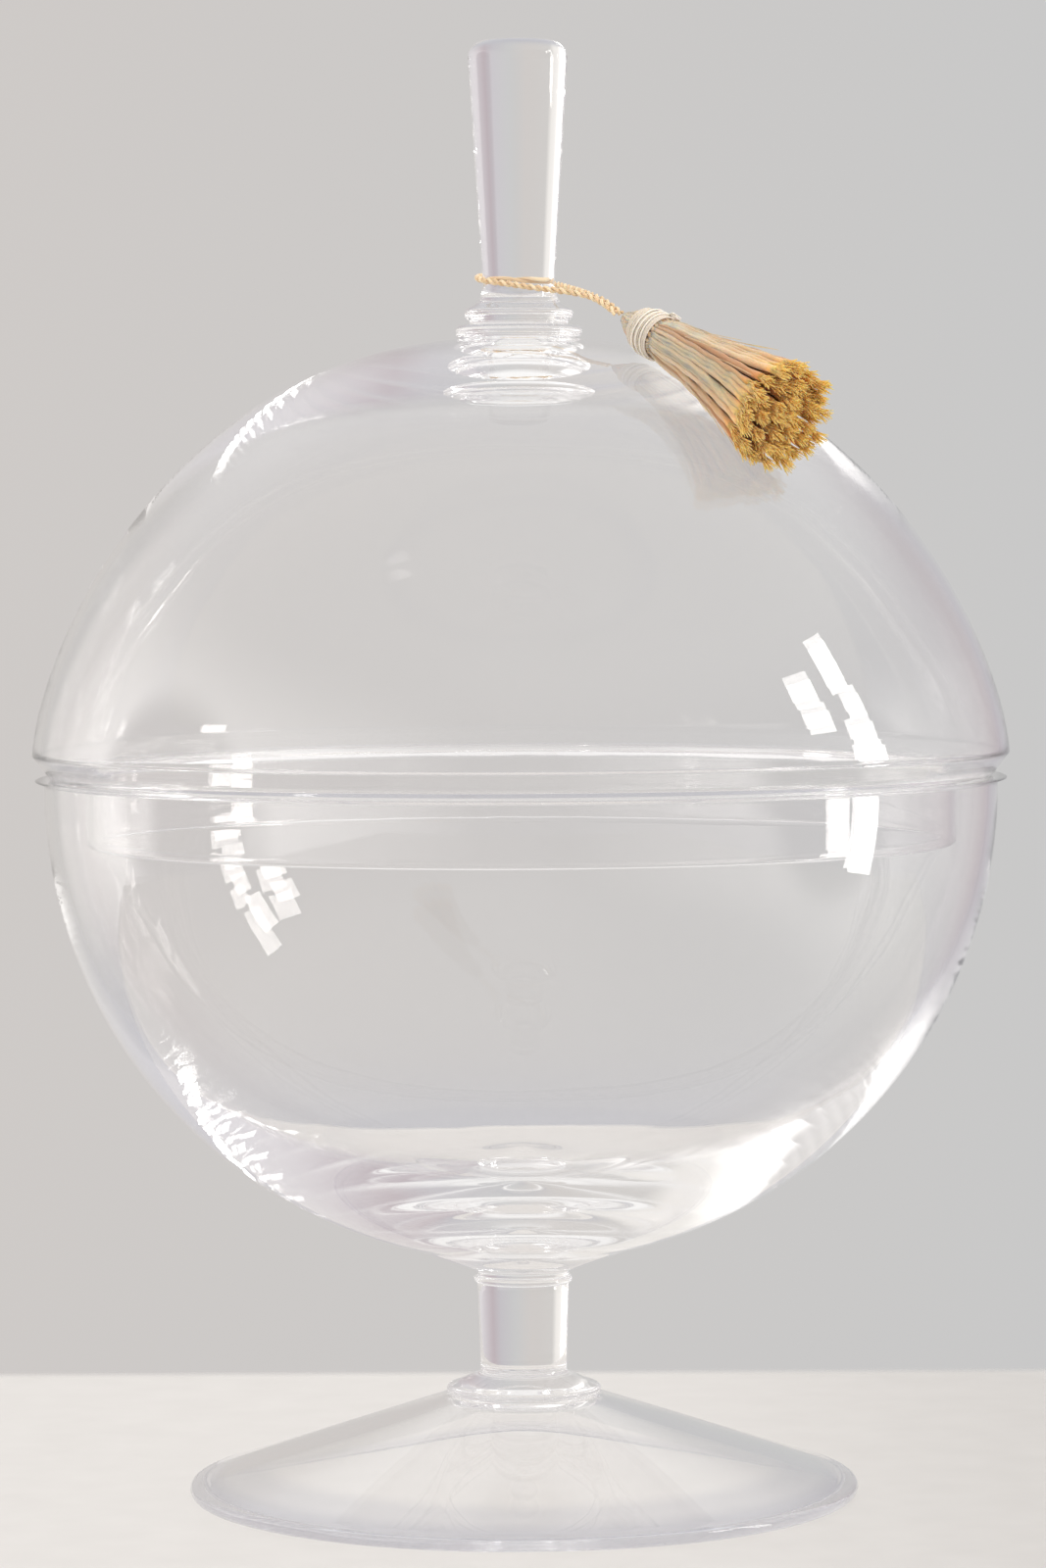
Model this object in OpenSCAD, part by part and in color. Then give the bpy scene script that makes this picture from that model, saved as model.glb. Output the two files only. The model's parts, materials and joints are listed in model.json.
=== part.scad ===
// Footed glass storage jar with a domed lid, a rod handle and a twine tassel.
// The jar stands on the plane z = 0 with its axis on Z, and its origin is the foot's centre.
// Every glass piece is turned about that axis, and pieces that are fused meet on flat rings.

/* [Foot] */
// Outer radius of the foot
foot_r = 86.2; // [70:0.1:95]
// Thickness of the foot's rounded edge
foot_edge_t = 3.6; // [3:0.1:5]
// Height of the flat seat on top of the foot
foot_seat_z = 25.5; // [24:0.1:28]
// Radius of that seat
foot_seat_r = 20.2; // [19.9:0.1:22]
// Thickness of the foot's sloping glass
foot_wall = 4.7; // [3:0.1:5]

/* [Collar and stem] */
// Radius of the collar that sits on the foot
collar_r = 19.9; // [18:0.1:20]
// Height of the collar's thick lower bead
collar_bead_h = 2.6; // [2:0.1:3]
// Whole height of the collar
collar_h = 5.2; // [4.6:0.1:6]
// Radius at the top of the collar
collar_top_r = 12.6; // [12.2:0.1:13.5]
// Radius of the stem at its foot
stem_foot_r = 11.1; // [10:0.1:11.5]
// Radius of the stem at its top
stem_top_r = 11.8; // [11.5:0.1:12.2]
// Height at which the stem ends and its ring begins
stem_top_z = 54.4; // [50:0.1:55]
// Radius of the thin ring at the top of the stem
ring_r = 12.7; // [12.4:0.1:13.2]
// Height of that ring
ring_h = 1.9; // [1.5:0.1:2.5]

/* [Bowl] */
// Outer radius of the bowl, which is half a ball below its equator
bowl_r = 122; // [118:0.1:122.4]
// Height of the ball's equator
bowl_z = 182.5; // [182:0.1:183.5]
// Thickness of the glass at the equator
bowl_wall = 2.6; // [2.2:0.1:3.4]
// Extra thickness of the solid bottom, beyond the wall
bowl_bottom_extra = 16.8; // [12:0.1:20]
// Radius at which the ball turns into the cone above the stem
bowl_cone_r = 30; // [26:0.5:34]
// Radius of the sharp lip
lip_r = 124.3; // [123:0.1:124.6]
// Height of the flat rim that the lid rests on
rim_z = 185; // [184.5:0.1:185.2]

/* [Lid] */
// Radius of the lid at its widest
lid_r = 125; // [123:0.1:125.4]
// Height of the lid's widest place
lid_z = 191; // [190:0.1:192]
// Height of the dome above its widest place
dome_h = 106.5; // [104:0.5:108]
// Radius inside the lid at its widest
dome_in_r = 122.6; // [121:0.1:123]
// Height of the hollow above the lid's widest place
dome_in_h = 99; // [92:0.5:101]
// Gap between the lid and the rim that it rests on
seat_gap = 0.3; // [0.2:0.05:0.5]
// Outer radius of the locating flange that hangs inside the bowl
flange_r = 111.5; // [109:0.1:112.5]
// Thickness of the flange and of its ledge
flange_t = 1.8; // [1.6:0.1:3]
// Depth of the flange below the rim
flange_drop = 17; // [12:0.5:20]

/* [Handle] */
// Radius of the wide ring under the handle
knob_ring_r = 16.2; // [15:0.1:16.4]
// Height of that ring
knob_ring_h = 3.4; // [3:0.1:3.8]
// Radius of the bead above the ring
bead_r = 13.9; // [13:0.1:14.5]
// Height of the bead with its flare
bead_h = 10; // [9.4:0.1:10.2]
// Radius of the handle at its foot
handle_foot_r = 9.1; // [8.6:0.1:9.2]
// Radius of the handle near its top
handle_top_r = 12.7; // [11:0.1:14]
// Length of the handle
handle_h = 62.4; // [50:0.1:70]
// Rounding of the handle's top edge
handle_round = 4.4; // [3:0.1:5]

/* [Tassel] */
// Direction in which the tassel lies, measured about the axis of the jar
tassel_azimuth = -47; // [-180:1:180]
// Distance from the axis of the jar to the tip of the tassel's head
tip_r = 38.6; // [38.4:0.1:39]
// Height of that tip
tip_z = 301.2; // [301:0.1:302]
// Slope of the tassel, downwards from level
tassel_dip = 22.5; // [22:0.1:23]
// Length of the head from its tip to its waist
head_len = 15.6; // [15:0.1:16]
// Radius of the head where the thread is wound round it
head_r = 5.5; // [5:0.1:5.6]
// Length of the skirt of loose yarns
skirt_len = 46.5; // [40:0.5:48]
// Radius of the skirt at its cut end
skirt_r = 13.8; // [12:0.1:14]
// Diameter of the twine
twine_d = 1.6; // [1.4:0.1:1.8]

/* [Hidden] */
$fn = 96;

// Resolution of the turned outlines
arc_steps = 6;
bowl_steps = 30;
dome_steps = 32;

// Heights of the fused joints, from the foot up
collar_top_z = foot_seat_z + collar_h;
ring_top_z = stem_top_z + ring_h;
// The handle's ring sinks a little into the top of the dome
ring_sink = 0.5;
knob_ring_z = lid_z + dome_h - ring_sink;
bead_z = knob_ring_z + knob_ring_h;
handle_z = bead_z + bead_h;
ledge_z = rim_z + seat_gap;
ledge_r = 117;

// Outline exponents of the dome: outside, inside, and the one for its height
dome_p = 2.3;
dome_in_p = 2.6;
dome_q = 1.5;
// How fast the bowl's wall thickens from its equator down
thicken = 2.5;

// Heights of the foot's hollow
foot_hollow_r = 18;
foot_ceiling_r = 14;
foot_ceiling_z = 22;
foot_ceiling_sag = 0.1;
foot_contact_r = 81;
foot_contact_round = 1.4;

// Radius of the tassel's waist, where the head ends and the skirt begins
waist_r = head_r - 0.5;
// Outline of the tassel's head, as radius and distance from its tip: its tip, its cone, where
// the winding starts, and where the cone reaches its full radius
head_tip = [1.5, 0.4];
head_cone = [3.1, 3.2];
wind_start = [4.9, 7];
full_at = 9.4;
// Where the winding ends, and how thick it is
wind_end = 15;
wind_t = 0.9;
// The skirt's outline below the waist, as radius and distance from the waist
skirt_points = [[6.2, 3], [7.2, 13], [8.9, 23], [11.2, 34]];

// Points on an arc of an ellipse about a centre, from angle a to angle b
function arc(c, rx, rz, a, b, n = arc_steps) =
    [for (i = [0:n]) let (t = a + (b - a) * i / n) [c[0] + rx * cos(t), c[1] + rz * sin(t)]];

// Height of the dome's outside and inside above its widest place
function dome_out(r) = dome_h * pow(1 - pow(r / lid_r, dome_p), 1 / dome_q);
function dome_in(r) = dome_in_h * pow(1 - pow(r / dome_in_r, dome_in_p), 1 / dome_q);

// Distance from the bowl's centre to its inside, at an angle below its equator
function bowl_in(a) = bowl_r - bowl_wall - bowl_bottom_extra * pow(a / 90, thicken);

// Radius on the dome of step i of n, closer together near the widest place
function dome_step(i, n, r0, r1) = r0 + (r1 - r0) * sin(90 * i / n);

// ------------------------------------------------------------------ jar
module foot() {
    half = foot_edge_t / 2;
    edge_r = foot_r - half;
    slope = (foot_seat_z - foot_edge_t) / (edge_r - foot_seat_r);
    hollow_z = foot_edge_t + slope * (edge_r - foot_hollow_r) - foot_wall;
    color([0.84, 0.86, 0.90, 0.45])
    rotate_extrude()
    polygon(concat(
        [[0, foot_ceiling_z], [foot_ceiling_r, foot_ceiling_z - foot_ceiling_sag]],
        [[foot_hollow_r, hollow_z]],
        [[foot_contact_r - foot_contact_round, foot_contact_round / 2], [foot_contact_r, 0]],
        arc([edge_r, half], half, half, -90, 90),
        [[foot_seat_r, foot_seat_z], [0, foot_seat_z]]));
}

module foot_collar() {
    half = collar_bead_h / 2;
    mid_z = foot_seat_z + half;
    shoulder_r = 15.4;
    shoulder_z = foot_seat_z + collar_bead_h + 1.3;
    ease_r = 1.4;
    ease_h = 0.8;
    color([0.84, 0.86, 0.90, 0.45])
    rotate_extrude()
    polygon(concat(
        [[0, foot_seat_z]],
        arc([collar_r - half, mid_z], half, half, -90, 80),
        [[shoulder_r + ease_r, shoulder_z - ease_h], [shoulder_r, shoulder_z]],
        [[collar_top_r, collar_top_z], [0, collar_top_z]]));
}

module stem() {
    fillet = 1.5;
    color([0.84, 0.86, 0.90, 0.45])
    rotate_extrude()
    polygon(concat(
        [[0, collar_top_z]],
        arc([stem_foot_r + fillet, collar_top_z + fillet], fillet, fillet, 270, 180),
        [[stem_top_r, stem_top_z], [0, stem_top_z]]));
}

module stem_ring() {
    half = ring_h / 2;
    color([0.84, 0.86, 0.90, 0.45])
    rotate_extrude()
    polygon(concat(
        [[0, stem_top_z]],
        arc([ring_r - half, stem_top_z + half], half, half, -90, 90),
        [[0, ring_top_z]]));
}

module bowl() {
    neck_r = ring_r - ring_h / 2;
    neck_z = ring_top_z + 1.2;
    neck_flare = 2.6;
    neck_flare_h = 1;
    flare_h = 1;
    lip_h = 0.4;
    lip_bevel = 0.6;
    rim_round = 0.5;
    cone_angle = acos(bowl_cone_r / bowl_r);
    color([0.84, 0.86, 0.90, 0.45])
    rotate_extrude()
    polygon(concat(
        [[0, ring_top_z], [neck_r, ring_top_z], [neck_r, neck_z]],
        [[neck_r + neck_flare, neck_z + neck_flare_h]],
        arc([0, bowl_z], bowl_r, bowl_r, -cone_angle, 0, bowl_steps),
        [[bowl_r, rim_z - flare_h], [lip_r, rim_z - lip_h]],
        [[lip_r, rim_z - lip_h / 2], [lip_r - lip_bevel, rim_z]],
        arc([bowl_r - bowl_wall + rim_round, rim_z - rim_round], rim_round, rim_round, 90, 180, 4),
        [for (i = [0:bowl_steps])
            let (a = 90 * i / bowl_steps)
            [bowl_in(a) * cos(a), bowl_z - bowl_in(a) * sin(a)]]));
}

// ------------------------------------------------------------------ lid
module lid_dome() {
    crown_step_r = 1.4;
    seat_r = ledge_r + 3.6;
    inner_seat_r = ledge_r + 2;
    color([0.84, 0.86, 0.90, 0.4])
    rotate_extrude()
    polygon(concat(
        [[0, knob_ring_z]],
        [for (i = [1:dome_steps])
            let (r = dome_step(i, dome_steps, knob_ring_r + crown_step_r, lid_r))
            [r, lid_z + dome_out(r)]],
        [[seat_r, ledge_z], [ledge_r, ledge_z], [ledge_r, ledge_z + flange_t]],
        [[inner_seat_r, ledge_z + flange_t]],
        [for (i = [1:dome_steps])
            let (r = dome_step(dome_steps - i, dome_steps, 0, dome_in_r))
            [r, lid_z + dome_in(r)]]));
}

module lid_flange() {
    inner_r = flange_r - flange_t;
    foot_z = rim_z - flange_drop;
    half = flange_t / 2;
    round_in = 1;
    color([0.84, 0.86, 0.90, 0.4])
    rotate_extrude()
    polygon(concat(
        [[ledge_r, ledge_z + flange_t], [ledge_r, ledge_z], [flange_r + round_in, ledge_z]],
        [[flange_r, ledge_z - round_in]],
        arc([flange_r - half, foot_z + half], half, half, 0, -180),
        [[inner_r, ledge_z + flange_t]]));
}

// --------------------------------------------------------------- handle
module handle_ring() {
    half = knob_ring_h / 2;
    color([0.84, 0.86, 0.90, 0.5])
    rotate_extrude()
    polygon(concat(
        [[0, knob_ring_z]],
        arc([knob_ring_r - half, knob_ring_z + half], half, half, -90, 90),
        [[0, bead_z]]));
}

module handle_bead() {
    groove_r = bead_r - 1.4;
    groove_h = 1.2;
    half = 1.6;
    mid_z = bead_z + groove_h + half;
    flare_r = bead_r - 3;
    flare_z = bead_z + 5.4;
    flare_step = 1;
    flare_step_h = 1.4;
    color([0.84, 0.86, 0.90, 0.5])
    rotate_extrude()
    polygon(concat(
        [[0, bead_z], [bead_r - 1, bead_z], [groove_r, bead_z + groove_h * 0.6]],
        arc([bead_r - half, mid_z], half, half, -60, 70),
        [[flare_r, flare_z], [flare_r - flare_step, flare_z + flare_step_h]],
        [[handle_foot_r, handle_z]],
        [[0, handle_z]]));
}

module handle() {
    top_z = handle_z + handle_h;
    color([0.84, 0.86, 0.90, 0.5])
    rotate_extrude()
    polygon(concat(
        [[0, handle_z], [handle_foot_r, handle_z]],
        arc([handle_top_r - handle_round, top_z - handle_round], handle_round, handle_round, 0, 80),
        [[0, top_z]]));
}

// --------------------------------------------------------------- tassel
// Moves a piece from its own axis, on Z from the tip of the head, to where the tassel lies
module lay_tassel() {
    rotate([0, 0, tassel_azimuth])
    translate([tip_r, 0, tip_z])
    rotate([0, 90 + tassel_dip, 0])
    children();
}

module tassel_head() {
    color([0.80, 0.70, 0.52])
    lay_tassel()
    rotate_extrude()
    polygon([[0, head_tip[1]], head_tip, head_cone, wind_start, [head_r, full_at],
        [head_r, wind_end], [waist_r, head_len], [0, head_len]]);
}

module tassel_binding() {
    half = wind_t / 2;
    mid = head_r + half;
    color([0.93, 0.90, 0.83])
    lay_tassel()
    rotate_extrude()
    polygon(concat(
        [wind_start],
        arc([wind_start[0] + half, wind_start[1] + half / 2], half, half, -90, 0, 3),
        [[head_r + wind_t, full_at]],
        arc([mid, wind_end - half], half, half, 0, 90, 3),
        [[head_r, wind_end], [head_r, full_at]]));
}

module tassel_skirt() {
    end_round = 1.4;
    color([0.84, 0.76, 0.60])
    lay_tassel()
    rotate_extrude()
    polygon(concat(
        [[0, head_len], [waist_r, head_len]],
        [for (p = skirt_points) [p[0], head_len + p[1]]],
        [[skirt_r, head_len + skirt_len - 1.2], [skirt_r - end_round, head_len + skirt_len]],
        [[0, head_len + skirt_len]]));
}

// The twine's route, with X towards the tassel, from one side of the head's tip, round the
// handle and back to the other side
TWINE_LEG = [[36.7, 0.95, 302.3], [34, 0.95, 303.9], [30.5, 0.95, 305.7], [27, 1.1, 306.9],
    [23, 2.2, 307.8], [19, 3.9, 308.5], [15, 5.7, 309.1], [11, 7.4, 309.7], [7.5, 8.7, 310.3]];
TWINE_LOOP = [[4, 9.8, 310.8], [0, 10.5, 311.4], [-4, 9.7, 312], [-7.5, 7.3, 312.6],
    [-9.8, 3.8, 313], [-10.5, 0, 313.2]];
twine_half = concat(TWINE_LEG, TWINE_LOOP);
twine_points = concat(twine_half,
    [for (i = [len(twine_half) - 2:-1:0]) let (p = twine_half[i]) [p[0], -p[1], p[2]]]);

function unit(v) = v / norm(v);
function heading(p, i) = unit(p[min(i + 1, len(p) - 1)] - p[max(i - 1, 0)]);
function across(t) = unit(cross(t, [0, 0, 1]));

// One solid swept along a list of points, with flat ends
module tube(points, d, sides = 8) {
    rings = [for (i = [0:len(points) - 1])
        let (t = heading(points, i), u = across(t), v = cross(u, t))
        for (k = [0:sides - 1])
            points[i] + d / 2 * (cos(360 * k / sides) * u + sin(360 * k / sides) * v)];
    walls = [for (i = [0:len(points) - 2]) for (k = [0:sides - 1])
        let (a = i * sides + k, b = i * sides + (k + 1) % sides)
        [a, b, b + sides, a + sides]];
    last = (len(points) - 1) * sides;
    polyhedron(rings, concat([[for (k = [sides - 1:-1:0]) k]], walls,
        [[for (k = [0:sides - 1]) last + k]]));
}

module tassel_twine() {
    color([0.78, 0.62, 0.38])
    rotate([0, 0, tassel_azimuth])
    tube(twine_points, twine_d);
}

foot();
foot_collar();
stem();
stem_ring();
bowl();
lid_dome();
lid_flange();
handle_ring();
handle_bead();
handle();
tassel_twine();
tassel_head();
tassel_binding();
tassel_skirt();
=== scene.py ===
"""Looks of a footed glass jar with a domed lid, a rod handle and a tassel on a twine loop.

Everything is in metres in the CAD model's frame: the jar stands on z = 0 with its axis on Z.
A glass outline is a list of (radius, height) pairs in millimetres, turned about that axis, in
the order that keeps the glass on its left. Pieces that are fused are open skins that meet at
the same ring, so light passes from one to the next as it does inside one body of glass.
"""
import json
import math
import random

import bpy
from mathutils import Matrix, Vector, noise


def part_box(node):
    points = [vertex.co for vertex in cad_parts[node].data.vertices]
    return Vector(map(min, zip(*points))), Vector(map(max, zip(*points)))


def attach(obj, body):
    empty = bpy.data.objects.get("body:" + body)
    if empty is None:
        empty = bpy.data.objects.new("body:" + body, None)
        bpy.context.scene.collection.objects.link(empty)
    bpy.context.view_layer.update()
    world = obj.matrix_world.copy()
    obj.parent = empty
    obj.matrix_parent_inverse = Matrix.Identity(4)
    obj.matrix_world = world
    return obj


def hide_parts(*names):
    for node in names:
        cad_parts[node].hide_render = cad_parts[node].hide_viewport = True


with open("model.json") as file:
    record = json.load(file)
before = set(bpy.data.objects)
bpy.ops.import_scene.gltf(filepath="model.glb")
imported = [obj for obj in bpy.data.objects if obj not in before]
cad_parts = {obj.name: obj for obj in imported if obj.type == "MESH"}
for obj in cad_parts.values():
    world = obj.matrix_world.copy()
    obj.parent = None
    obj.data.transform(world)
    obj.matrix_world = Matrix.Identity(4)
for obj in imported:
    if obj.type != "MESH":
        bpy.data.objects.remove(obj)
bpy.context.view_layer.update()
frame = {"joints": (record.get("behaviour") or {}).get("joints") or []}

MM = 0.001
random.seed(7)
scene = bpy.context.scene


# ---------------------------------------------------------------- camera
def make_camera():
    """A long lens at the height of the lid, looking slightly down at the jar."""
    camera = bpy.data.objects.new("camera", bpy.data.cameras.new("camera"))
    scene.collection.objects.link(camera)
    pitch_down = 2.806
    roll = 0.273
    place = Matrix.Translation((0.0005, -1.4143, 0.2522))
    aim = Matrix.Rotation(math.radians(90 - pitch_down), 4, "X")
    camera.matrix_world = place @ aim @ Matrix.Rotation(math.radians(-roll), 4, "Z")
    camera.data.sensor_width = 36
    camera.data.lens = 126.58
    scene.camera = camera


# ------------------------------------------------------------- materials
def new_material(name):
    """A node material, its node tree, and its Principled shader."""
    material = bpy.data.materials.new(name)
    material.use_nodes = True
    return material, material.node_tree, material.node_tree.nodes["Principled BSDF"]


def add_noise(tree, vector, scale, detail=2.0):
    """A noise texture's value, fed by a vector."""
    node = tree.nodes.new("ShaderNodeTexNoise")
    node.inputs["Scale"].default_value = scale
    node.inputs["Detail"].default_value = detail
    tree.links.new(vector, node.inputs["Vector"])
    return node.outputs["Fac"]


def add_range(tree, value, from_low, from_high, to_low, to_high, kind="SMOOTHSTEP"):
    """A value carried from one range to another, smoothly unless kind says otherwise."""
    node = tree.nodes.new("ShaderNodeMapRange")
    node.interpolation_type = kind
    node.inputs["From Min"].default_value = from_low
    node.inputs["From Max"].default_value = from_high
    node.inputs["To Min"].default_value = to_low
    node.inputs["To Max"].default_value = to_high
    tree.links.new(value, node.inputs["Value"])
    return node.outputs["Result"]


def add_ramp(tree, value, stops):
    """A colour ramp through (position, colour) stops."""
    node = tree.nodes.new("ShaderNodeValToRGB")
    ramp = node.color_ramp
    while len(ramp.elements) < len(stops):
        ramp.elements.new(0.5)
    for element, (position, colour) in zip(ramp.elements, stops):
        element.position = position
        element.color = (*colour, 1)
    tree.links.new(value, node.inputs["Fac"])
    return node.outputs["Color"]


def add_mix(tree, factor, first, second, blend="MIX"):
    """Two colours mixed; each of the three inputs is a socket or a constant."""
    node = tree.nodes.new("ShaderNodeMix")
    node.data_type = "RGBA"
    node.blend_type = blend
    for key, value in ((0, factor), (6, first), (7, second)):
        if isinstance(value, bpy.types.NodeSocket):
            tree.links.new(value, node.inputs[key])
        else:
            node.inputs[key].default_value = value
    return node.outputs[2]


def add_bump(tree, height, strength, distance):
    """A bump normal from a height."""
    node = tree.nodes.new("ShaderNodeBump")
    node.inputs["Strength"].default_value = strength
    node.inputs["Distance"].default_value = distance
    tree.links.new(height, node.inputs["Height"])
    return node.outputs["Normal"]


def object_place(tree):
    """The point on the piece, in metres in the piece's own space."""
    return tree.nodes.new("ShaderNodeTexCoord").outputs["Object"]


def add_split(tree, vector):
    """A vector's parts, by the names X, Y and Z."""
    node = tree.nodes.new("ShaderNodeSeparateXYZ")
    tree.links.new(vector, node.inputs[0])
    return node.outputs


def attribute(tree, name, output="Fac"):
    """A value or vector that the mesh carries."""
    node = tree.nodes.new("ShaderNodeAttribute")
    node.attribute_name = name
    return node.outputs[output]


def glass_material():
    """Clear hand-blown glass: faint handling marks in its gloss, and turning marks in its skin.

    The thin glass at the very edge of the foot is a little darker and bluer: partly the glass's
    own tint and partly painted shade, in place of the shade that the rim doesn't cast on the
    table beneath it.
    """
    material, tree, shader = new_material("clear_glass")
    shader.inputs["Transmission Weight"].default_value = 1
    shader.inputs["IOR"].default_value = 1.5
    place = object_place(tree)
    clear = (0.978, 0.975, 0.975, 1)
    edge_tint_and_shade = (0.72, 0.73, 0.79, 1)
    # Painted shade, partly the glass's own tint: darker and bluer at the foot's edge, full up to
    # 4 mm and gone by 6.5 mm up
    foot_edge_tint_and_shade_mask = add_range(tree, add_split(tree, place)["Z"], 0.004, 0.0065, 1, 0)
    tint = add_mix(tree, foot_edge_tint_and_shade_mask, clear, edge_tint_and_shade)
    tree.links.new(tint, shader.inputs["Base Color"])
    smears = add_noise(tree, place, 38, 4)
    gloss = add_range(tree, smears, 0.5, 0.75, 0.0, 0.035)
    tree.links.new(gloss, shader.inputs["Roughness"])
    squash = tree.nodes.new("ShaderNodeMapping")
    squash.inputs["Scale"].default_value = (1, 1, 5)
    tree.links.new(place, squash.inputs["Vector"])
    turning = add_noise(tree, squash.outputs["Vector"], 40, 2)
    normal = add_bump(tree, turning, 0.05, 0.0002)
    tree.links.new(normal, shader.inputs["Normal"])
    return material


def fibre_material(name, stops, glow=0.15):
    """Spun fibre: colour along its length, a tint for each yarn, and fine streaks round it.

    glow is the share of light that passes through the fibres.
    """
    material, tree, shader = new_material(name)
    along = add_ramp(tree, attribute(tree, "along"), stops)
    streaks = add_noise(tree, attribute(tree, "grain", "Vector"), 14, 3)
    shade = add_range(tree, streaks, 0.3, 0.7, 0.8, 1.1)
    tints = add_ramp(tree, attribute(tree, "tint"), [
        (0.0, (0.7, 0.45, 0.3)), (0.4, (0.94, 0.86, 0.78)), (1.0, (1.15, 1.15, 1.15))])
    tinted = add_mix(tree, 1.0, along, tints, "MULTIPLY")
    colour = add_mix(tree, 1.0, tinted, shade, "MULTIPLY")
    tree.links.new(colour, shader.inputs["Base Color"])
    shader.inputs["Roughness"].default_value = 0.78
    shader.inputs["Sheen Weight"].default_value = 0.35
    shader.inputs["Sheen Roughness"].default_value = 0.5
    shader.inputs["Subsurface Weight"].default_value = glow
    shader.inputs["Subsurface Scale"].default_value = 0.002
    shader.inputs["Subsurface Radius"].default_value = (1.0, 0.52, 0.22)
    tree.links.new(add_bump(tree, streaks, 0.5, 0.0002), shader.inputs["Normal"])
    return material


# ----------------------------------------------------------------- glass
# Steps round each corner, and the turn in degrees below which a corner is left as it is
CORNER_STEPS = 5
GENTLE_TURN = 14

# The glass's waviness, in mm: none within the first radius, full beyond the second, and calm
# near the rim, with a long and a short wave
WAVE_STILL_R = 26
WAVE_FULL_R = 70
LONG_WAVE = 46
LONG_WAVE_H = 0.2
SHORT_WAVE = 17
SHORT_WAVE_H = 0.05
RIM_Z = 188
RIM_CALM = 50
RIM_LEAST = 0.15


def arc(centre, reach_r, reach_z, start, end, steps=10):
    """Points of an ellipse about centre, from angle start to angle end in degrees."""
    angles = [math.radians(start + (end - start) * i / steps) for i in range(steps + 1)]
    return [(centre[0] + reach_r * math.cos(a), centre[1] + reach_z * math.sin(a))
            for a in angles]


def soften(outline, radius):
    """The outline with its corners rounded off, as fire leaves them."""
    points = [Vector(p) for p in outline]
    result = [points[0]]
    for before, corner, after in zip(points, points[1:], points[2:]):
        back = before - corner
        on = after - corner
        if math.degrees(back.angle(on)) > 180 - GENTLE_TURN:
            result.append(corner)
            continue
        reach = min(radius, 0.45 * back.length, 0.45 * on.length)
        start = corner + back.normalized() * reach
        end = corner + on.normalized() * reach
        for i in range(CORNER_STEPS + 1):
            t = i / CORNER_STEPS
            result.append(start.lerp(corner, t).lerp(corner.lerp(end, t), t))
    return result + [points[-1]]


def refine(points, spacing):
    """The outline with its long stretches cut into steps of at most spacing."""
    result = [points[0]]
    for a, b in zip(points, points[1:]):
        steps = max(1, math.ceil((b - a).length / spacing))
        result += [a.lerp(b, (i + 1) / steps) for i in range(steps)]
    return result


def stray(place):
    """How far hand-blown glass strays outwards at a place, in mm, less near axis and rim."""
    reach = (math.hypot(place.x, place.y) - WAVE_STILL_R) / (WAVE_FULL_R - WAVE_STILL_R)
    if reach <= 0:
        return 0.0
    reach = min(reach, 1, RIM_LEAST + abs(place.z - RIM_Z) / RIM_CALM)
    long_wave = LONG_WAVE_H * noise.noise(place / LONG_WAVE)
    short_wave = SHORT_WAVE_H * noise.noise(place / SHORT_WAVE + Vector((7, 3, 5)))
    return reach * (long_wave + short_wave)


def turn_skin(outline, turns, vertices, faces):
    """Turns one outline about Z and adds it to the lists; a point on the axis becomes a pole."""
    rings = []
    for r, z in outline:
        if r < 0.001:
            vertices.append(Vector((0, 0, z)) * MM)
            rings.append([len(vertices) - 1] * turns)
            continue
        first = len(vertices)
        for k in range(turns):
            angle = 2 * math.pi * k / turns
            place = Vector((r * math.cos(angle), r * math.sin(angle), z))
            far = 1 + stray(place) / r
            vertices.append(Vector((place.x * far, place.y * far, z)) * MM)
        rings.append(list(range(first, first + turns)))
    for low, high in zip(rings, rings[1:]):
        for k in range(turns):
            j = (k + 1) % turns
            face = [low[k], low[j], high[j], high[k]]
            faces.append(list(dict.fromkeys(face)))


def add_object(name, vertices, faces, material):
    """A smooth-shaded mesh object with one material."""
    mesh = bpy.data.meshes.new(name)
    mesh.from_pydata(vertices, [], faces)
    mesh.polygons.foreach_set("use_smooth", [True] * len(mesh.polygons))
    mesh.materials.append(material)
    piece = bpy.data.objects.new(name, mesh)
    scene.collection.objects.link(piece)
    return piece


def add_glass(name, node, body, outlines, material, turns=128, corner=0.6, spacing=2.5):
    """One glass piece, turned from its outlines, that stands for a CAD node.

    It throws no shade on the table or the tassel, as in flat light from all sides.
    """
    vertices = []
    faces = []
    for outline in outlines:
        turn_skin(refine(soften(outline, corner), spacing), turns, vertices, faces)
    piece = add_object(name, vertices, faces, material)
    piece.visible_diffuse = False
    piece.visible_shadow = False
    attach(piece, body)
    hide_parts(node)


def extent(node):
    """A turned node's largest radius, lowest height and greatest height, in millimetres."""
    low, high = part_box(node)
    return high.x / MM, low.z / MM, high.z / MM


# Half the collar's thickness, and the stem's radius at its top, in mm
COLLAR_HALF = 1.3
STEM_R = 11.75


def add_foot(glass):
    """The hollow foot: its ceiling, its rounded edge, its slope and the flat seat on top."""
    outer_r, _, seat_z = extent("foot")
    collar_r = extent("foot_collar")[0]
    half = 1.8
    edge_r = outer_r - half
    hollow = [(0, 22), (14, 21.9), (18, 21.5), (79.6, 0.7), (81, 0)]
    edge = arc((edge_r, half), half, half, -90, 90)
    slope_top_r = 20.2
    seat = [(slope_top_r, seat_z), (collar_r - COLLAR_HALF, seat_z)]
    add_glass("foot_glass", "foot", "jar", [hollow + edge + seat], glass, turns=192, corner=1.2)


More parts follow.
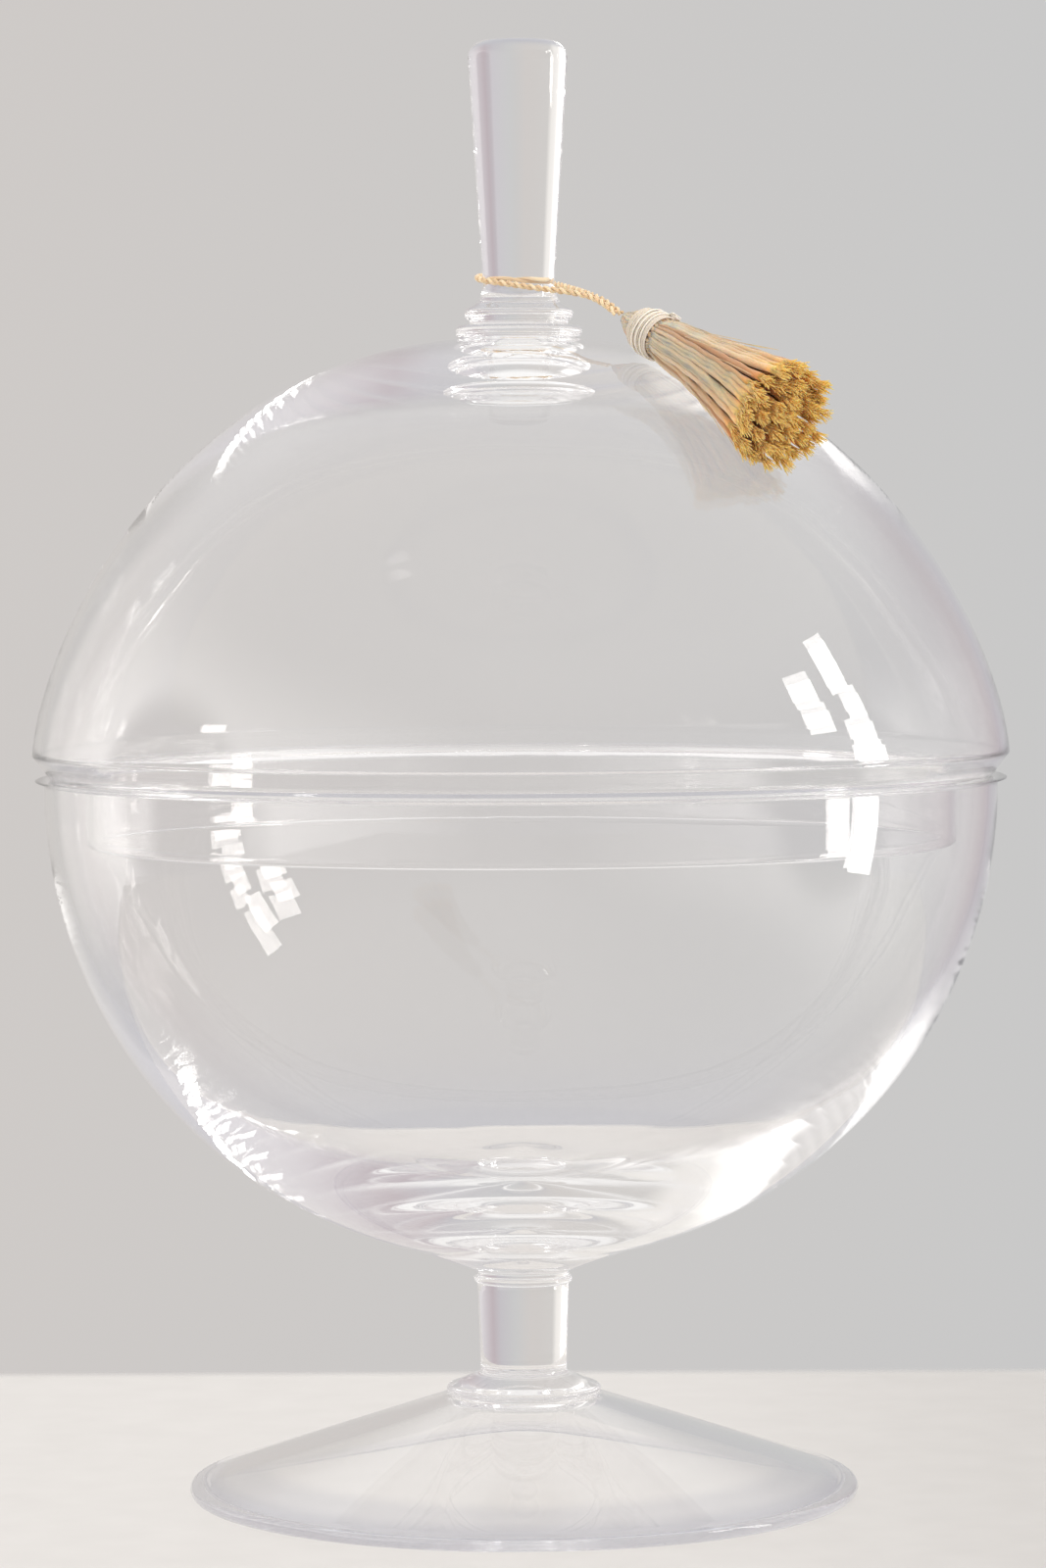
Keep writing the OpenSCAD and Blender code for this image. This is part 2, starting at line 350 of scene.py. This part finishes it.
def add_collar_and_stem(glass):
    """The collar on the foot, the stem, and the thin ring at the stem's top."""
    collar_r, seat_z, collar_z = extent("foot_collar")
    half = COLLAR_HALF
    bead = arc((collar_r - half, seat_z + half), half, half, -90, 80)
    shoulder = [(16.8, seat_z + 3.1), (15.4, seat_z + 3.9), (12.6, collar_z)]
    add_glass("foot_collar_glass", "foot_collar", "jar", [bead + shoulder], glass)

    ring_r, stem_z, ring_z = extent("stem_ring")
    fillet = 1.5
    foot_r = 11.1
    root = arc((foot_r + fillet, collar_z + fillet), fillet, fillet, 270, 180)
    rod = [(STEM_R + 0.05, stem_z - 0.3), (STEM_R, stem_z)]
    add_glass("stem_glass", "stem", "jar", [root + rod], glass)

    half = (ring_z - stem_z) / 2
    ring = arc((ring_r - half, stem_z + half), half, half, -90, 90)
    add_glass("stem_ring_glass", "stem_ring", "jar", [ring], glass)


# The bowl's ball and its wall in mm; the wall gains BOTTOM_EXTRA on its way down to the axis
BALL_R = 122
BALL_Z = 182.5
BOWL_WALL = 2.6
BOTTOM_EXTRA = 16.8
THICKEN = 2.5


def bowl_inside(angle):
    """The point inside the bowl at an angle below the equator, seen from the ball's centre."""
    reach = BALL_R - BOWL_WALL - BOTTOM_EXTRA * (angle / 90) ** THICKEN
    turn = math.radians(angle)
    return reach * math.cos(turn), BALL_Z - reach * math.sin(turn)


def add_bowl(glass):
    """The bowl: a ball outside with a flared lip, and a hollow with a thick solid bottom."""
    lip_r, neck_z, rim_z = extent("bowl")
    neck = [(STEM_R, neck_z), (STEM_R, neck_z + 1.2), (STEM_R + 2.6, neck_z + 2.2)]
    cone_r = 30
    cone_end = -math.degrees(math.acos(cone_r / BALL_R))
    ball = arc((0, BALL_Z), BALL_R, BALL_R, cone_end, 0, 60)
    lip = [(BALL_R, rim_z - 1), (lip_r, rim_z - 0.4), (lip_r, rim_z - 0.2), (lip_r - 0.6, rim_z)]
    round_r = 0.5
    edge_centre = (BALL_R - BOWL_WALL + round_r, rim_z - round_r)
    inner_edge = arc(edge_centre, round_r, round_r, 90, 180, 3)
    steps = 64
    inside = [bowl_inside(90 * i / steps) for i in range(steps)]
    outline = neck + ball + lip + inner_edge + inside + [(0, bowl_inside(90)[1])]
    add_glass("bowl_glass", "bowl", "jar", [outline], glass, turns=224, corner=0.25)


# The lid in mm: its ledge, its thin flange, and the height of its widest place
LEDGE_R = 117
LEDGE_Z = 185.3
SEAT_WIDTH = 3.6
FLANGE_T = 1.8
LID_Z = 191

# A dome's height over that place and the power that shapes it, outside and inside
OUTER_DOME = (106.5, 2.3)
INNER_DOME = (99, 2.6)
HOLLOW_R = 122.6
DOME_ROOT = 1 / 1.5


def dome(radius, widest, shape):
    """Height of a dome at a radius, from its widest radius and its height and power."""
    height, power = shape
    return LID_Z + height * max(0.0, 1 - (radius / widest) ** power) ** DOME_ROOT


def add_lid_dome(glass):
    """The dome, thick at its crown, with a flat seat turned in at its lower edge."""
    lid_r = extent("lid_dome")[0]
    ring_r, seat_z, ring_z = extent("handle_ring")
    seat_r = ring_r - (ring_z - seat_z) / 2
    under = [(LEDGE_R, LEDGE_Z), (LEDGE_R + SEAT_WIDTH, LEDGE_Z)]
    steps = 72
    crown_r = ring_r + 1.4
    shares = [math.sin(math.pi / 2 * i / steps) for i in range(steps + 1)]
    radii = [crown_r + (lid_r - crown_r) * share for share in shares]
    rise = [(r, dome(r, lid_r, OUTER_DOME)) for r in reversed(radii)]
    outside = under + rise + [(seat_r, seat_z)]

    fall = [(HOLLOW_R * share, dome(HOLLOW_R * share, HOLLOW_R, INNER_DOME)) for share in shares]
    inner_z = LEDGE_Z + FLANGE_T
    inside = fall[:-1] + [(LEDGE_R + 2, inner_z), (LEDGE_R, inner_z)]
    add_glass("lid_dome_glass", "lid_dome", "lid", [outside, inside], glass,
              turns=224, corner=0.3)


def add_lid_flange(glass):
    """The thin ledge inside the lid's edge, and the flange that hangs inside the bowl."""
    inner_z = LEDGE_Z + FLANGE_T
    foot_z = extent("lid_flange")[1]
    flange_r = 111.5
    inner_r = flange_r - FLANGE_T
    half = FLANGE_T / 2
    inner_side = [(LEDGE_R, inner_z), (inner_r, inner_z)]
    end = arc((flange_r - half, foot_z + half), half, half, 180, 360)
    outer_side = [(flange_r, LEDGE_Z - 1), (flange_r + 1, LEDGE_Z), (LEDGE_R, LEDGE_Z)]
    flange = inner_side + end + outer_side
    add_glass("lid_flange_glass", "lid_flange", "lid", [flange], glass, turns=224, corner=0.3)


# Radii in mm where the handle's bead and its rod begin
BEAD_FOOT_R = 12.9
ROD_FOOT_R = 9.1


def add_handle(glass):
    """The wide ring, the bead with its flare, and the tapered rod with its rounded top."""
    ring_r, ring_z, bead_z = extent("handle_ring")
    half = (bead_z - ring_z) / 2
    ring = arc((ring_r - half, ring_z + half), half, half, -90, 90)
    outline = ring + [(BEAD_FOOT_R, bead_z)]
    add_glass("handle_ring_glass", "handle_ring", "lid", [outline], glass)

    bead_r, _, rod_z = extent("handle_bead")
    half = 1.6
    bead = arc((bead_r - half, bead_z + 1.2 + half), half, half, -60, 70)
    flare = [(bead_r - 3, bead_z + 5.4), (bead_r - 4, bead_z + 6.8), (ROD_FOOT_R, rod_z)]
    outline = [(BEAD_FOOT_R, bead_z), (bead_r - 1.4, bead_z + 0.7)] + bead + flare
    add_glass("handle_bead_glass", "handle_bead", "lid", [outline], glass)

    top_r, _, top_z = extent("handle")
    edge = 4.4
    top = arc((top_r - edge, top_z - edge), edge, edge, 0, 80)
    outline = [(ROD_FOOT_R, rod_z)] + top + [(0, top_z)]
    add_glass("handle_glass", "handle", "lid", [outline], glass, corner=1.5, spacing=2)


# ------------------------------------------------------------ tubes of fibre
def unit_frames(points):
    """A heading and two directions across it at each point, without needless twist."""
    frames = []
    across = None
    last = len(points) - 1
    for i in range(len(points)):
        heading = (points[min(i + 1, last)] - points[max(i - 1, 0)]).normalized()
        if across is None:
            across = heading.orthogonal()
        across = (across - heading * across.dot(heading)).normalized()
        frames.append((heading, across, heading.cross(across)))
    return frames


class Strands:
    """Many closed tubes gathered into one mesh, with the values that the fibre material reads."""

    # How deep the plies' lobes are, and how many units of grain a metre of tube has
    LOBE_DEPTH = 0.13
    GRAIN_LENGTH = 90

    def __init__(self):
        self.vertices = []
        self.faces = []
        self.along = []
        self.tint = []
        self.grain = []

    def tube(self, points, radii, sides=8, plies=0, twist=0.0, tint=0.5, along=(0.0, 1.0)):
        """Adds one tube. plies lobes wind round it by twist turns for each metre."""
        first = len(self.vertices)
        travelled = 0.0
        for i, (heading, u, v) in enumerate(unit_frames(points)):
            if i:
                travelled += (points[i] - points[i - 1]).length
            share = i / (len(points) - 1)
            for k in range(sides):
                angle = 2 * math.pi * k / sides
                wound = plies * angle - 2 * math.pi * twist * travelled
                lobe = 1 + self.LOBE_DEPTH * math.cos(wound)
                reach = radii[i] * (lobe if plies else 1)
                turn = u * math.cos(angle) + v * math.sin(angle)
                self.vertices.append(points[i] + turn * reach)
                self.along.append(along[0] + (along[1] - along[0]) * share)
                self.tint.append(tint)
                streak = travelled * self.GRAIN_LENGTH
                self.grain.append((math.cos(angle) + 9 * tint, math.sin(angle), streak))
        for i in range(len(points) - 1):
            for k in range(sides):
                a = first + i * sides + k
                b = first + i * sides + (k + 1) % sides
                self.faces.append((a, b, b + sides, a + sides))
        last = first + (len(points) - 1) * sides
        self.faces.append(tuple(range(first + sides - 1, first - 1, -1)))
        self.faces.append(tuple(range(last, last + sides)))

    def build(self, name, material):
        """The gathered tubes as an object."""
        piece = add_object(name, self.vertices, self.faces, material)
        mesh = piece.data
        mesh.attributes.new("along", "FLOAT", "POINT").data.foreach_set("value", self.along)
        mesh.attributes.new("tint", "FLOAT", "POINT").data.foreach_set("value", self.tint)
        grain = mesh.attributes.new("grain", "FLOAT_VECTOR", "POINT")
        grain.data.foreach_set("vector", [x for g in self.grain for x in g])
        return piece


def smooth_path(points, steps):
    """A smooth curve through the points, with steps pieces between each two."""
    result = []
    for i in range(len(points) - 1):
        p0 = points[max(i - 1, 0)]
        p1 = points[i]
        p2 = points[i + 1]
        p3 = points[min(i + 2, len(points) - 1)]
        for step in range(steps):
            t = step / steps
            curve = (p2 - p0) * t + (2 * p0 - 5 * p1 + 4 * p2 - p3) * t ** 2
            result.append(p1 + (curve + (3 * p1 - p0 - 3 * p2 + p3) * t ** 3) / 2)
    return result + [points[-1]]


# ----------------------------------------------------------------- tassel
lift = next(joint for joint in frame["joints"] if joint["name"] == "tassel_lift")
TIP = Vector(lift["pos_m"])
AZIMUTH = math.atan2(TIP.y, TIP.x)
DIP = math.radians(22.5)
OUTWARD = Vector((math.cos(AZIMUTH), math.sin(AZIMUTH), 0))
AXIS = OUTWARD * math.cos(DIP) - Vector((0, 0, 1)) * math.sin(DIP)
SIDE = Vector((-math.sin(AZIMUTH), math.cos(AZIMUTH), 0))
UP = AXIS.cross(SIDE)

# Outer radius of the tassel, in mm, at distances in mm from the tip of its head
HEAD = [(0.4, 1.5), (3.2, 3.1), (7, 4.9), (9.4, 5.5), (15, 5.5), (15.6, 5)]
SKIRT = [(15.6, 5), (18.6, 6.2), (28.6, 7.2), (38.6, 8.9), (49.6, 11.2), (60.9, 13.8)]
WAIST = 15.6
SKIRT_END = 61.4

# At its end the skirt droops by this many mm and is this share wider across than it is thick
SKIRT_SAG = 2.4
SKIRT_SPREAD = 0.13

# The twine's route in metres, with X towards the tassel: one leg, then half the loop round
# the handle. The other half mirrors it.
TWINE_LEG = [(0.0367, 0.00095, 0.3023), (0.034, 0.00095, 0.3039), (0.0305, 0.00095, 0.3057),
             (0.027, 0.0011, 0.3069), (0.023, 0.0022, 0.3078), (0.019, 0.0039, 0.3085),
             (0.015, 0.0057, 0.3091), (0.011, 0.0074, 0.3097), (0.0075, 0.0087, 0.3103)]
TWINE_LOOP = [(0.004, 0.0098, 0.3108), (0, 0.0105, 0.3114), (-0.004, 0.0097, 0.312),
              (-0.0075, 0.0073, 0.3126), (-0.0098, 0.0038, 0.313), (-0.0105, 0, 0.3132)]
TWINE_D = 0.0016


def radius_at(profile, distance):
    """Radius in mm of a profile at a distance from the tip."""
    for (s0, r0), (s1, r1) in zip(profile, profile[1:]):
        if distance <= s1:
            return r0 + (r1 - r0) * max(0.0, distance - s0) / (s1 - s0)
    return profile[-1][1]


def tassel_place(distance, radius, angle):
    """A point in metres: distance along the tassel from its tip, radius and angle about it."""
    loose = max(0.0, distance - WAIST) / (SKIRT_END - WAIST)
    wide = 1 + SKIRT_SPREAD * loose
    across = SIDE * (wide * math.cos(angle)) + UP * math.sin(angle)
    sag = SKIRT_SAG * loose ** 2
    return TIP + (AXIS * distance + across * radius - UP * sag) * MM


def add_hair(strands, path, lift_off):
    """One short loose hair on the twine, which starts a little off its path."""
    k = random.randrange(4, len(path) - 4)
    lean = Vector((random.uniform(-1, 1), random.uniform(-1, 1), random.uniform(-1, 1)))
    along = (path[k + 1] - path[k]).normalized() * random.choice((-1, 1))
    way = (along + lean * 0.35).normalized()
    hair = [path[k] + lean.normalized() * lift_off]
    for step in range(3):
        hair.append(hair[-1] + way * random.uniform(0.3, 0.5) * MM)
    radii = [0.05 * MM, 0.05 * MM, 0.04 * MM, 0.02 * MM]
    strands.tube(hair, radii, sides=3, tint=random.random())


def add_twine(material):
    """The two-ply twine loop, which is a cord from one side of the tassel's tip to the other."""
    half = TWINE_LEG + TWINE_LOOP
    whole = half + [(x, -y, z) for x, y, z in reversed(half[:-1])]
    turn = Matrix.Rotation(AZIMUTH, 3, "Z")
    path = smooth_path([turn @ Vector(p) for p in whole], 12)
    strands = Strands()
    ply_r = TWINE_D * 0.27
    pitch = 0.0042
    hairs = 90
    for ply in range(2):
        travelled = 0.0
        points = []
        for i, (heading, u, v) in enumerate(unit_frames(path)):
            if i:
                travelled += (path[i] - path[i - 1]).length
            angle = 2 * math.pi * travelled / pitch + math.pi * ply
            points.append(path[i] + (u * math.cos(angle) + v * math.sin(angle)) * ply_r)
        radii = [ply_r * (0.96 + 0.1 * noise.noise(p * 900)) for p in points]
        strands.tube(points, radii, sides=9, plies=3, twist=380, tint=0.35 + 0.4 * ply)
    for i in range(hairs):
        add_hair(strands, path, ply_r * 1.3)
    twine = strands.build("tassel_twine_plies", material)
    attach(twine, "twine")
    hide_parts("tassel_twine")


def add_head(material):
    """The yarns folded over the twine, side by side down the cone of the head."""
    strands = Strands()
    core = [tassel_place(s, 0, 0) for s in (0.8, 3.2, 7, 9.4, 12, 15.4)]
    core_radii = [r * MM for r in (0.7, 2.0, 3.7, 4.3, 4.3, 4.0)]
    strands.tube(core, core_radii, sides=24)
    count = 26
    start = 0.5
    widest = 5.5
    for i in range(count):
        angle = 2 * math.pi * (i + random.uniform(-0.2, 0.2)) / count
        points = []
        radii = []
        steps = 18
        for step in range(steps + 1):
            s = start + (WAIST - start) * step / steps
            outer = radius_at(HEAD, s)
            thick = min(0.85, 0.3 + 0.55 * outer / widest)
            sway = angle + 0.12 * math.sin(s * 0.5 + i)
            points.append(tassel_place(s, max(0.3, outer - thick - 0.1), sway))
            radii.append(thick * MM * random.uniform(0.92, 1.06))
        strands.tube(points, radii, sides=10, plies=3, twist=160, tint=random.random(),
                     along=(0, 0.06))
    head = strands.build("tassel_head_yarns", material)
    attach(head, "tassel")
    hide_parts("tassel_head")


# Steps in each turn of thread
TURN_STEPS = 40


def thread(strands, points, radii, tint, sides=7):
    """One length of two-ply thread."""
    strands.tube(points, radii, sides=sides, plies=2, twist=500, tint=tint)


def add_winding(strands):
    """The close turns of thread round the head."""
    start = 7.0
    turns = 24
    pitch = 0.33
    points = []
    for i in range(turns * TURN_STEPS + 1):
        turn = i / TURN_STEPS
        angle = 2 * math.pi * turn
        s = start + pitch * turn + 0.12 * math.sin(angle * 0.37) + 0.08 * math.sin(angle * 1.9)
        lift_off = 0.12 + 0.1 * math.sin(angle * 0.73)
        points.append(tassel_place(s, radius_at(HEAD, min(s, 14.9)) + lift_off, angle))
    thread(strands, points, [0.19 * MM] * len(points), 0.5)


def add_crossing(strands):
    """Three slanting turns that cross over the winding and hold it."""
    turns = 3
    points = []
    for i in range(turns * TURN_STEPS + 1):
        turn = i / TURN_STEPS
        s = 14.6 - 1.6 * turn + 0.4 * math.sin(7 * turn)
        points.append(tassel_place(s, radius_at(HEAD, s) + 0.55, -2 * math.pi * turn + 1))
    thread(strands, points, [0.25 * MM] * len(points), 0.9)


def add_knot(strands):
    """A small lumpy knot on top of the waist."""
    loops = 3
    steps = 20
    points = []
    for i in range(loops * steps + 1):
        turn = 2 * math.pi * i / steps
        lump = 0.75 + 0.25 * math.sin(2.3 * turn)
        out = radius_at(HEAD, 14) + 0.75 + 0.3 * math.cos(1.7 * turn)
        points.append(tassel_place(14.2 + lump * math.sin(turn), out, 1 + 0.2 * math.cos(turn)))
    thread(strands, points, [0.22 * MM] * len(points), 0.9)


def add_loose_end(strands, angle, reach, tint):
    """A loose end of thread that leaves the knot at an angle about the head."""
    s = 12.6
    base = radius_at(HEAD, s) + 0.4
    course = [tassel_place(s, base, angle - 0.25), tassel_place(s + 0.7, base + 0.3, angle),
              tassel_place(s + reach * 0.5, base + 1.0, angle + 0.12),
              tassel_place(s + reach, base + 0.9, angle + 0.1)]
    curve = smooth_path(course, 5)
    radii = [0.24 * MM * (1 - 0.5 * k / len(curve)) for k in range(len(curve))]
    thread(strands, curve, radii, tint, sides=6)


def add_binding(material):
    """Fine thread wound round the head and knotted, with its ends left loose."""
    strands = Strands()
    add_winding(strands)
    add_crossing(strands)
    add_knot(strands)
    for angle, reach, tint in ((0.9, 3.2, 1.0), (1.25, 4.0, 0.8), (1.1, 2.2, 0.9)):
        add_loose_end(strands, angle, reach, tint)
    binding = strands.build("tassel_binding_thread", material)
    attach(binding, "tassel")
    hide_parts("tassel_binding")


# The skirt's layers from outside in: how many yarns, and at what share of its radius
LAYERS = [(44, 1.0), (28, 0.68), (17, 0.4), (7, 0.14)]
WISPS = 14


def add_skirt(material):
    """Loose yarns that spread from the waist to a cut end, where each one frays."""
    strands = Strands()
    for count, share in LAYERS:
        for i in range(count):
            add_yarn(strands, 2 * math.pi * (i + random.uniform(-0.35, 0.35)) / count, share)
    for i in range(WISPS):
        add_wisp(strands)
    skirt = strands.build("tassel_skirt_yarns", material)
    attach(skirt, "tassel")
    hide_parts("tassel_skirt")


def add_wisp(strands):
    """One fine fibre that stands off the side of the skirt."""
    angle = random.uniform(0, 2 * math.pi)
    s = random.uniform(24, 46)
    out = random.uniform(0.3, 1.0)
    points = []
    for step in range(7):
        here = min(s + 2.2 * step, SKIRT_END)
        points.append(tassel_place(here, radius_at(SKIRT, here) + out * step * 0.25, angle))
    radii = [0.1 * MM] * 6 + [0.05 * MM]
    strands.tube(points, radii, sides=4, tint=random.random(), along=(0.5, 0.8))


def add_yarn(strands, angle, share):
    """One yarn of the skirt, at a share of the skirt's radius."""
    end = SKIRT_END - 0.2 - random.uniform(0, 4.4)
    bunch = 0.13 * math.sin(5 * angle + 1) + 0.05 * math.sin(11 * angle)
    drift = random.uniform(-0.12, 0.12)
    wave = random.uniform(0.015, 0.05)
    phase = random.uniform(0, 6.28)
    loose = share - random.uniform(0, 0.09)
    tint = random.random()
    start = WAIST - 0.7
    steps = 26
    points = []
    radii = []
    for step in range(steps + 1):
        t = step / steps
        s = start + (end - start) * t
        thick = 0.55 + 0.42 * min(1.0, t * 1.3)
        outer = radius_at(SKIRT, s) - thick
        turn = angle + bunch * t + drift * t + wave * math.sin(5 * t + phase)
        points.append(tassel_place(s, outer * (share + (loose - share) * t), turn))
        radii.append(thick * MM * (1 + 0.06 * noise.noise(Vector((angle, share, t * 8)))))
    strands.tube(points, radii, sides=10, plies=3, twist=110, tint=tint, along=(0.08, 0.86))
    fray(strands, points[-1], (points[-1] - points[-3]).normalized(), radii[-1], tint)


def fray(strands, end, heading, reach, tint):
    """The loosened fibres at a yarn's cut end."""
    side = heading.orthogonal().normalized()
    other = heading.cross(side)
    count = 22
    golden_turn = 2.4
    buried = 1.5 * MM
    steps = 4
    radii = [r * MM for r in (0.16, 0.17, 0.16, 0.15, 0.11)]
    for i in range(count):
        angle = golden_turn * i
        out = reach * math.sqrt((i + 0.5) / count)
        lean = side * math.cos(angle) + other * math.sin(angle)
        length = random.uniform(2.6, 4.0) * MM
        bend = random.uniform(0.05, 0.35)
        points = [end - heading * buried + lean * out * 0.8]
        for step in range(steps):
            aim = heading + lean * bend * (step + 1) * 0.4
            points.append(points[-1] + aim.normalized() * (length + buried) / steps)
        own_tint = 0.4 + 0.25 * tint + 0.35 * random.random()
        strands.tube(points, radii, sides=4, tint=own_tint, along=(0.86, 1))


# ----------------------------------------------------------------- studio
def add_floor():
    """A pale table top, darker to the right through painted shade, whose back edge fades out
    softly.
    """
    front = -1.2
    back = 0.203
    half = 0.7
    fade = 0.014
    corners = [(-half, front, 0), (half, front, 0), (half, back, 0), (-half, back, 0)]
    material, tree, shader = new_material("table_top")
    place = object_place(tree)
    mottle = add_noise(tree, place, 60, 4)
    pale = add_ramp(tree, mottle, [(0.3, (0.645, 0.625, 0.605)), (0.7, (0.67, 0.65, 0.63))])
    parts = add_split(tree, place)
    # Painted shade: the table's colour darkens by up to 14 % over the first 0.16 m towards +X
    painted_shade_right = add_range(tree, parts["X"], 0.0, 0.16, 0, 0.14)
    colour = add_mix(tree, painted_shade_right, pale, (0, 0, 0, 1))
    tree.links.new(colour, shader.inputs["Base Color"])
    shader.inputs["Roughness"].default_value = 0.6
    shader.inputs["Specular IOR Level"].default_value = 0.2
    solid = add_range(tree, parts["Y"], back - fade, back, 1, 0)
    tree.links.new(solid, shader.inputs["Alpha"])
    floor = add_object("table_top", [Vector(c) for c in corners], [(0, 1, 2, 3)], material)


def add_world():
    """A pale room: a grey wall behind the jar, and brighter walls, ceiling and floor round it.

    The wall to the left is the brightest, with a grey strip in its middle.
    """
    world = bpy.data.worlds.new("room")
    scene.world = world
    world.use_nodes = True
    tree = world.node_tree
    shine = tree.nodes["Background"]
    way = add_split(tree, tree.nodes.new("ShaderNodeTexCoord").outputs["Generated"])
    across = add_range(tree, way["X"], -1, 1, 0, 1, "LINEAR")
    ahead = add_ramp(tree, across, [
        (0.025, (0.72, 0.7, 0.69)), (0.045, (2.1, 2.05, 2.0)), (0.08, (1.7, 1.66, 1.6)),
        (0.16, (0.95, 0.92, 0.88)), (0.21, (0.88, 0.85, 0.81)), (0.255, (0.62, 0.6, 0.58)),
        (0.44, (0.625, 0.595, 0.575)), (0.56, (0.58, 0.58, 0.58)), (0.68, (0.54, 0.52, 0.55)),
        (0.76, (0.5, 0.43, 0.46)), (1.0, (0.75, 0.73, 0.76))])
    behind = add_ramp(tree, across, [
        (0.025, (0.72, 0.7, 0.69)), (0.045, (2.1, 2.05, 2.0)), (0.4, (0.85, 0.83, 0.82)),
        (1.0, (0.7, 0.68, 0.71))])
    turned = add_range(tree, way["Y"], -0.25, 0.15, 0, 1)
    room = add_mix(tree, turned, behind, ahead)
    above = add_range(tree, way["Z"], 0.3, 0.65, 0, 1)
    room = add_mix(tree, above, room, (1.0, 0.99, 0.98, 1))
    below = add_range(tree, way["Z"], -0.5, -0.12, 1, 0)
    room = add_mix(tree, below, room, (0.5, 0.5, 0.54, 1))
    tree.links.new(room, shine.inputs["Color"])


WINDOW_COLOUR = (1, 0.98, 0.95)
WINDOW_STRENGTH = 10
JAR_MIDDLE = Vector((0, 0, 0.19))


def add_pane(name, centre, width, height):
    """A glowing pane that faces the jar's middle and shows only in shiny things."""
    material = bpy.data.materials.new(name)
    material.use_nodes = True
    tree = material.node_tree
    tree.nodes.clear()
    glow = tree.nodes.new("ShaderNodeEmission")
    glow.inputs["Color"].default_value = (*WINDOW_COLOUR, 1)
    glow.inputs["Strength"].default_value = WINDOW_STRENGTH
    out = tree.nodes.new("ShaderNodeOutputMaterial")
    tree.links.new(glow.outputs[0], out.inputs["Surface"])
    w = width / 2
    h = height / 2
    corners = [Vector((-w, -h, 0)), Vector((w, -h, 0)), Vector((w, h, 0)), Vector((-w, h, 0))]
    pane = add_object(name, corners, [(0, 1, 2, 3)], material)
    facing = (JAR_MIDDLE - centre).to_track_quat("Z", "Y").to_matrix().to_4x4()
    pane.matrix_world = Matrix.Translation(centre) @ facing
    pane.visible_camera = False
    pane.visible_diffuse = False


# The window's panes in metres: place across it, height of the middle, width and height
PANES = [(-0.22, 1.04, 0.25, 0.19), (-0.19, 0.8, 0.25, 0.17), (0.14, 1.14, 0.2, 0.3),
         (0.2, 0.85, 0.18, 0.15), (0.18, 0.64, 0.25, 0.16), (0.2, 0.42, 0.3, 0.18),
         (0.22, -0.1, 0.24, 0.6)]


def add_window():
    """A window to the right of the jar: bright panes with dark bars between them."""
    along_wall = Vector((0.17, 0.985, 0))
    for i, (across, middle, width, height) in enumerate(PANES):
        centre = Vector((1.75, -0.3, middle)) + along_wall * across
        add_pane(f"pane_{i}", centre, width, height)


def add_daylight():
    """The window's soft light on the table and the tassel, which the glass doesn't mirror."""
    lamp = bpy.data.lights.new("daylight", "SUN")
    lamp.energy = 1.65
    lamp.angle = math.radians(35)
    lamp.color = WINDOW_COLOUR
    sun = bpy.data.objects.new("daylight", lamp)
    scene.collection.objects.link(sun)
    toward = Vector((1.0, -0.55, 0.8))
    sun.matrix_world = toward.to_track_quat("Z", "Y").to_matrix().to_4x4()
    sun.visible_glossy = False
    sun.visible_transmission = False


# Thick clear glass goes black where light runs out of bounces
BOUNCES = 128
scene.view_settings.view_transform = "Standard"
scene.cycles.max_bounces = BOUNCES
scene.cycles.transmission_bounces = BOUNCES
scene.cycles.glossy_bounces = BOUNCES

make_camera()
twine_look = fibre_material("twine", [(0, (0.86, 0.68, 0.44)), (1, (0.9, 0.72, 0.48))])
add_twine(twine_look)

glass = glass_material()
add_foot(glass)
add_collar_and_stem(glass)
add_bowl(glass)
add_lid_dome(glass)
add_lid_flange(glass)
add_handle(glass)

yarn_look = fibre_material("yarn", [
    (0.0, (0.62, 0.48, 0.35)), (0.1, (0.62, 0.47, 0.33)), (0.55, (0.6, 0.43, 0.27)),
    (0.78, (0.68, 0.44, 0.22)), (0.86, (1.0, 0.48, 0.11)), (1.0, (1.0, 0.56, 0.15))],
    glow=0.65)
thread_look = fibre_material("thread", [(0, (0.86, 0.79, 0.68)), (1, (0.9, 0.84, 0.74))])
add_head(yarn_look)
add_binding(thread_look)
add_skirt(yarn_look)

add_floor()
add_world()
add_window()
add_daylight()
